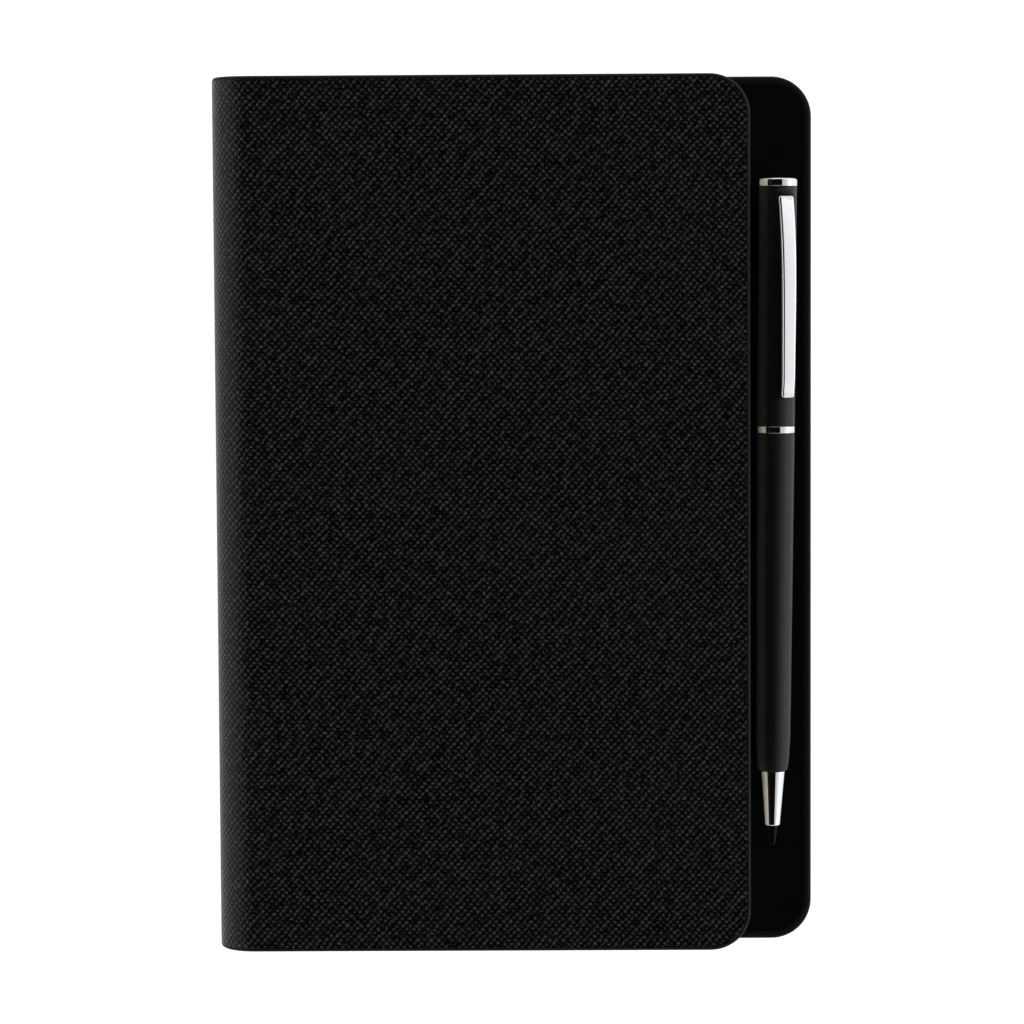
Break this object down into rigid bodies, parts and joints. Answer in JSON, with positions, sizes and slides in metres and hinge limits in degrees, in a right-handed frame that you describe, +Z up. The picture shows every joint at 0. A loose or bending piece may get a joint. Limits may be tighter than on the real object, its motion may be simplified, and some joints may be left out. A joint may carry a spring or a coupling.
{
  "type": "notebook",
  "caption": "Soft wrapped notebook with a round spine and a short front cover beside which a slim twist pen lies on the bare strip of the back cover.",
  "frame": {"origin": "centre of the closed book's bounding box, at its bottom: the middle of the back cover's outer face", "axes": "+X from the round spine to the fore-edge, +Y from tail to head, +Z up through the leaves to the front cover"},
  "size_m": [0.122, 0.178, 0.0149],
  "materials": {
    "cross_grain_leather": "black, embossed with a fine cross grain, satin",
    "smooth_lining": "smooth black, soft satin",
    "grey_board": "pressed grey board, matte",
    "spine_card": "flexible card, matte",
    "writing_paper": "ivory, uncoated",
    "endpaper": "black, uncoated",
    "binding_glue": "dried glue, dull",
    "linen_thread": "waxed, off-white",
    "spine_cloth": "open weave, stiffened",
    "band_cloth": "woven, striped",
    "magnet": "nickel plated",
    "black_lacquer": "satin black",
    "bright_chrome": "polished",
    "turned_brass": "turned, bright",
    "cam_plastic": "moulded, natural",
    "holder_plastic": "moulded, dark",
    "dark_steel": "darkened, satin"
  },
  "bodies": {
    "back_cover": {"back_leather": "cross_grain_leather", "back_board": "grey_board", "back_lining": "smooth_lining", "pen_magnets": "magnet", "spine_leather": "cross_grain_leather", "spine_liner": "spine_card", "spine_glue": "binding_glue", "sewing_thread": "linen_thread", "spine_mull": "spine_cloth", "headband": "band_cloth", "tailband": "band_cloth"},
    "front_cover": {"front_leather": "cross_grain_leather", "front_board": "grey_board", "front_lining": "smooth_lining"},
    "front_flyleaf": {"front_flyleaf": "endpaper"},
    "signature_1": {"signature_1": "writing_paper"},
    "signature_2": {"signature_2": "writing_paper"},
    "signature_3": {"signature_3": "writing_paper"},
    "signature_4": {"signature_4": "writing_paper"},
    "signature_5": {"signature_5": "writing_paper"},
    "signature_6": {"signature_6": "writing_paper"},
    "back_flyleaf": {"back_flyleaf": "endpaper"},
    "pen": {"pen_finial": "bright_chrome", "pen_upper_barrel": "black_lacquer", "pen_ring": "bright_chrome", "pen_sleeve": "turned_brass"},
    "clip": {"pen_clip": "bright_chrome"},
    "pen_front": {"pen_lower_barrel": "black_lacquer", "pen_tip": "bright_chrome", "pen_cam": "cam_plastic"},
    "refill": {"pen_refill_holder": "holder_plastic", "pen_refill_tube": "turned_brass", "pen_refill_point": "dark_steel"}
  },
  "joints": [
    {"name": "cover_open", "type": "hinge", "parent": "back_cover", "child": "front_cover", "pos_m": [-0.05355, 0, 0.0149], "axis": [0, -1, 0], "range_deg": [0, 178], "deforming": ["spine_leather", "spine_liner"]},
    {"name": "front_flyleaf_turn", "type": "hinge", "parent": "back_cover", "child": "front_flyleaf", "pos_m": [-0.05295, 0, 0.01268], "axis": [0, -1, 0], "range_deg": [0, 121.5]},
    {"name": "signature_1_turn", "type": "hinge", "parent": "back_cover", "child": "signature_1", "pos_m": [-0.05295, 0, 0.01251], "axis": [0, -1, 0], "range_deg": [0, 78.8]},
    {"name": "signature_2_turn", "type": "hinge", "parent": "back_cover", "child": "signature_2", "pos_m": [-0.05295, 0, 0.01082], "axis": [0, -1, 0], "range_deg": [0, 45]},
    {"name": "signature_3_turn", "type": "hinge", "parent": "back_cover", "child": "signature_3", "pos_m": [-0.05295, 0, 0.00913], "axis": [0, -1, 0], "range_deg": [0, 25.4]},
    {"name": "signature_4_turn", "type": "hinge", "parent": "back_cover", "child": "signature_4", "pos_m": [-0.05295, 0, 0.00744], "axis": [0, -1, 0], "range_deg": [0, 13.8]},
    {"name": "signature_5_turn", "type": "hinge", "parent": "back_cover", "child": "signature_5", "pos_m": [-0.05295, 0, 0.00575], "axis": [0, -1, 0], "range_deg": [0, 7.3]},
    {"name": "signature_6_turn", "type": "hinge", "parent": "back_cover", "child": "signature_6", "pos_m": [-0.05295, 0, 0.00406], "axis": [0, -1, 0], "range_deg": [0, 3.7]},
    {"name": "back_flyleaf_turn", "type": "hinge", "parent": "back_cover", "child": "back_flyleaf", "pos_m": [-0.05295, 0, 0.00237], "axis": [0, -1, 0], "range_deg": [0, 1.9]},
    {"name": "pen_lift", "type": "slide", "parent": "back_cover", "child": "pen", "axis": [0, 0, 1], "range_m": [0, 0.04]},
    {"name": "pen_twist", "type": "hinge", "parent": "pen", "child": "pen_front", "pos_m": [0.05343, 0.0163, 0.00623], "axis": [0.0087, 1, 0], "range_deg": [0, 180]},
    {"name": "refill_retract", "type": "slide", "parent": "pen", "child": "refill", "axis": [0.0087, 1, 0], "range_m": [0, 0.0046]},
    {"name": "clip_flex", "type": "hinge", "parent": "pen", "child": "clip", "pos_m": [0.05541, 0.06458, 0.00991], "axis": [-0.9205, 0.008, 0.3907], "range_deg": [0, 5], "stiffness_Nm_per_rad": 0.02, "springref_deg": -2.86}
  ],
  "couplings": [
    {"joint": "front_flyleaf_turn", "follows": "cover_open", "ratio": 0.68},
    {"joint": "signature_1_turn", "follows": "cover_open", "ratio": 0.44},
    {"joint": "signature_2_turn", "follows": "cover_open", "ratio": 0.25},
    {"joint": "signature_3_turn", "follows": "cover_open", "ratio": 0.14},
    {"joint": "signature_4_turn", "follows": "cover_open", "ratio": 0.075},
    {"joint": "signature_5_turn", "follows": "cover_open", "ratio": 0.038},
    {"joint": "signature_6_turn", "follows": "cover_open", "ratio": 0.018},
    {"joint": "back_flyleaf_turn", "follows": "cover_open", "ratio": 0.008},
    {"joint": "refill_retract", "follows": "pen_twist", "m_per_rad": 0.0014324}
  ]
}
